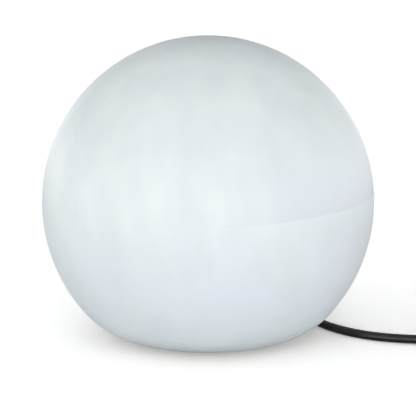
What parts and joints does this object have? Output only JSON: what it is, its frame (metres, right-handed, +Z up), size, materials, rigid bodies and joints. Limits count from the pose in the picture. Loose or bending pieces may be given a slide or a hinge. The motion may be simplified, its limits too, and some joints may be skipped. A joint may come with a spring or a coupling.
{
  "type": "garden globe light",
  "caption": "Opal polyethylene garden globe with a flattened underside, closed by a screwed base plate with lampholder, bulb, rubber cord and mains plug.",
  "frame": {"origin": "on the ground under the centre of the globe", "axes": "+Z up; the cord leaves the base at +Y, and the mould parting line rises towards +X"},
  "size_m": [0.5069, 0.32, 0.2733],
  "materials": {
    "opal_polyethylene": "satin",
    "brass": "satin",
    "base_plastic": "matt",
    "gasket_rubber": "matt",
    "steel": "satin",
    "foot_rubber": "matt",
    "black_nylon": "satin",
    "cord_rubber": "matt",
    "core_brown": "satin",
    "core_blue": "satin",
    "core_green_yellow": "satin",
    "zinc_steel": "satin",
    "nickel": "satin",
    "holder_plastic": "satin",
    "ceramic": "matt",
    "spring_steel": "bright",
    "bulb_insulator": "gloss",
    "bulb_white": "satin",
    "bulb_opal": "satin",
    "board": "satin",
    "tie_rubber": "matt",
    "plug_rubber": "matt"
  },
  "bodies": {
    "base": {"base_plate": "base_plastic", "base_gasket": "gasket_rubber", "base_screws": "steel", "rubber_feet": "foot_rubber", "gland_seal": "gasket_rubber", "gland_nut": "black_nylon", "inner_lead": "cord_rubber", "cord_clamp": "black_nylon", "clamp_screws": "steel", "lampholder_bracket": "zinc_steel", "bracket_screws": "steel", "earth_lug": "brass", "earth_screw": "brass", "lampholder_nipple": "zinc_steel", "nipple_nuts": "zinc_steel", "lampholder_cap": "holder_plastic", "lampholder_skirt": "holder_plastic", "contact_block": "ceramic", "screw_shell": "nickel", "contact_spring": "spring_steel", "terminal_clamps": "brass", "terminal_screws": "brass", "core_brown": "core_brown", "core_blue": "core_blue", "core_earth": "core_green_yellow", "cord_lead": "cord_rubber", "cord_coil": "cord_rubber", "cord_tail": "cord_rubber", "cord_ties": "tie_rubber", "plug_body": "plug_rubber", "plug_pins": "nickel", "plug_earth_clips": "nickel"},
    "globe": {"globe_shell": "opal_polyethylene", "threaded_inserts": "brass"},
    "contact": {"centre_contact": "brass"},
    "bulb": {"bulb_tip": "nickel", "bulb_insulator": "bulb_insulator", "bulb_cap": "nickel", "bulb_housing": "bulb_white", "led_board": "board", "bulb_diffuser": "bulb_opal"}
  },
  "joints": [
    {"name": "globe_lift", "type": "slide", "parent": "base", "child": "globe", "axis": [0, 0, 1], "range_m": [0, 0.2]},
    {"name": "bulb_rise", "type": "slide", "parent": "base", "child": "contact", "axis": [0, 0, 1], "range_m": [0, 0.0024], "deforming": ["contact_spring"]},
    {"name": "bulb_turn", "type": "hinge", "parent": "contact", "child": "bulb", "pos_m": [0, 0, 0.1], "axis": [0, 0, 1], "range_deg": [0, 240]}
  ],
  "couplings": [
    {"joint": "bulb_turn", "follows": "bulb_rise", "rad_per_m": 1731.3}
  ]
}
